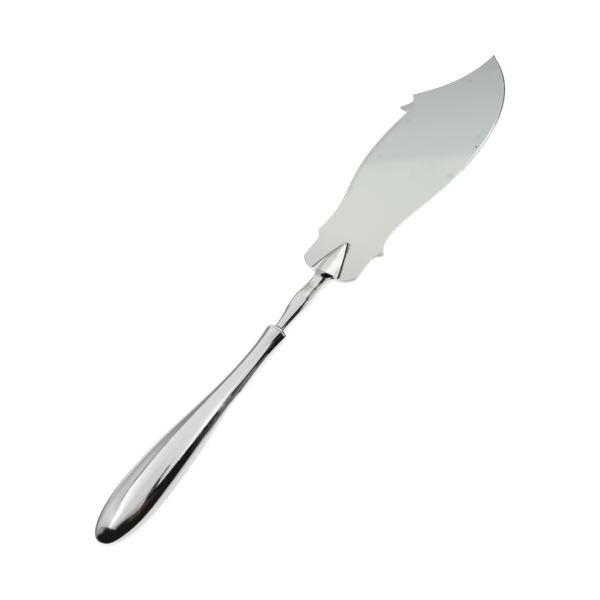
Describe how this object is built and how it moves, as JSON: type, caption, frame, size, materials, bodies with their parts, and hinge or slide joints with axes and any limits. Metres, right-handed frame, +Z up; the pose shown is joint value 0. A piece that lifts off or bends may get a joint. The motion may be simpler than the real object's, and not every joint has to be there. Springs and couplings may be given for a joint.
{
  "type": "serving spatula",
  "caption": "Flat, shaped serving blade with a notch near its tip, soldered under a cast spearhead shank, with a hollow pear-shaped handle.",
  "frame": {"origin": "on the blade's flat underside, on the handle's centre line, level with the blade's shoulder spurs", "axes": "+X along the handle towards the blade's tip, +Z up out of the blade's upper face, +Y to the side with the notch near the tip"},
  "size_m": [0.2924, 0.0405, 0.0106],
  "materials": {
    "satin_silver": "silver sheet with a satin polish, faint scratches and smudges of tarnish",
    "cast_silver": "cast silver, bright polish, brown tarnish in the creases",
    "polished_silver": "stamped silver sheet, mirror polish with fine scratches",
    "pitch": "dark, dull handle pitch"
  },
  "bodies": {
    "root": {"blade": "satin_silver", "shank": "cast_silver", "handle_end_cap": "polished_silver", "handle_shell_upper": "polished_silver", "handle_shell_lower": "polished_silver", "handle_filler": "pitch"}
  },
  "joints": []
}
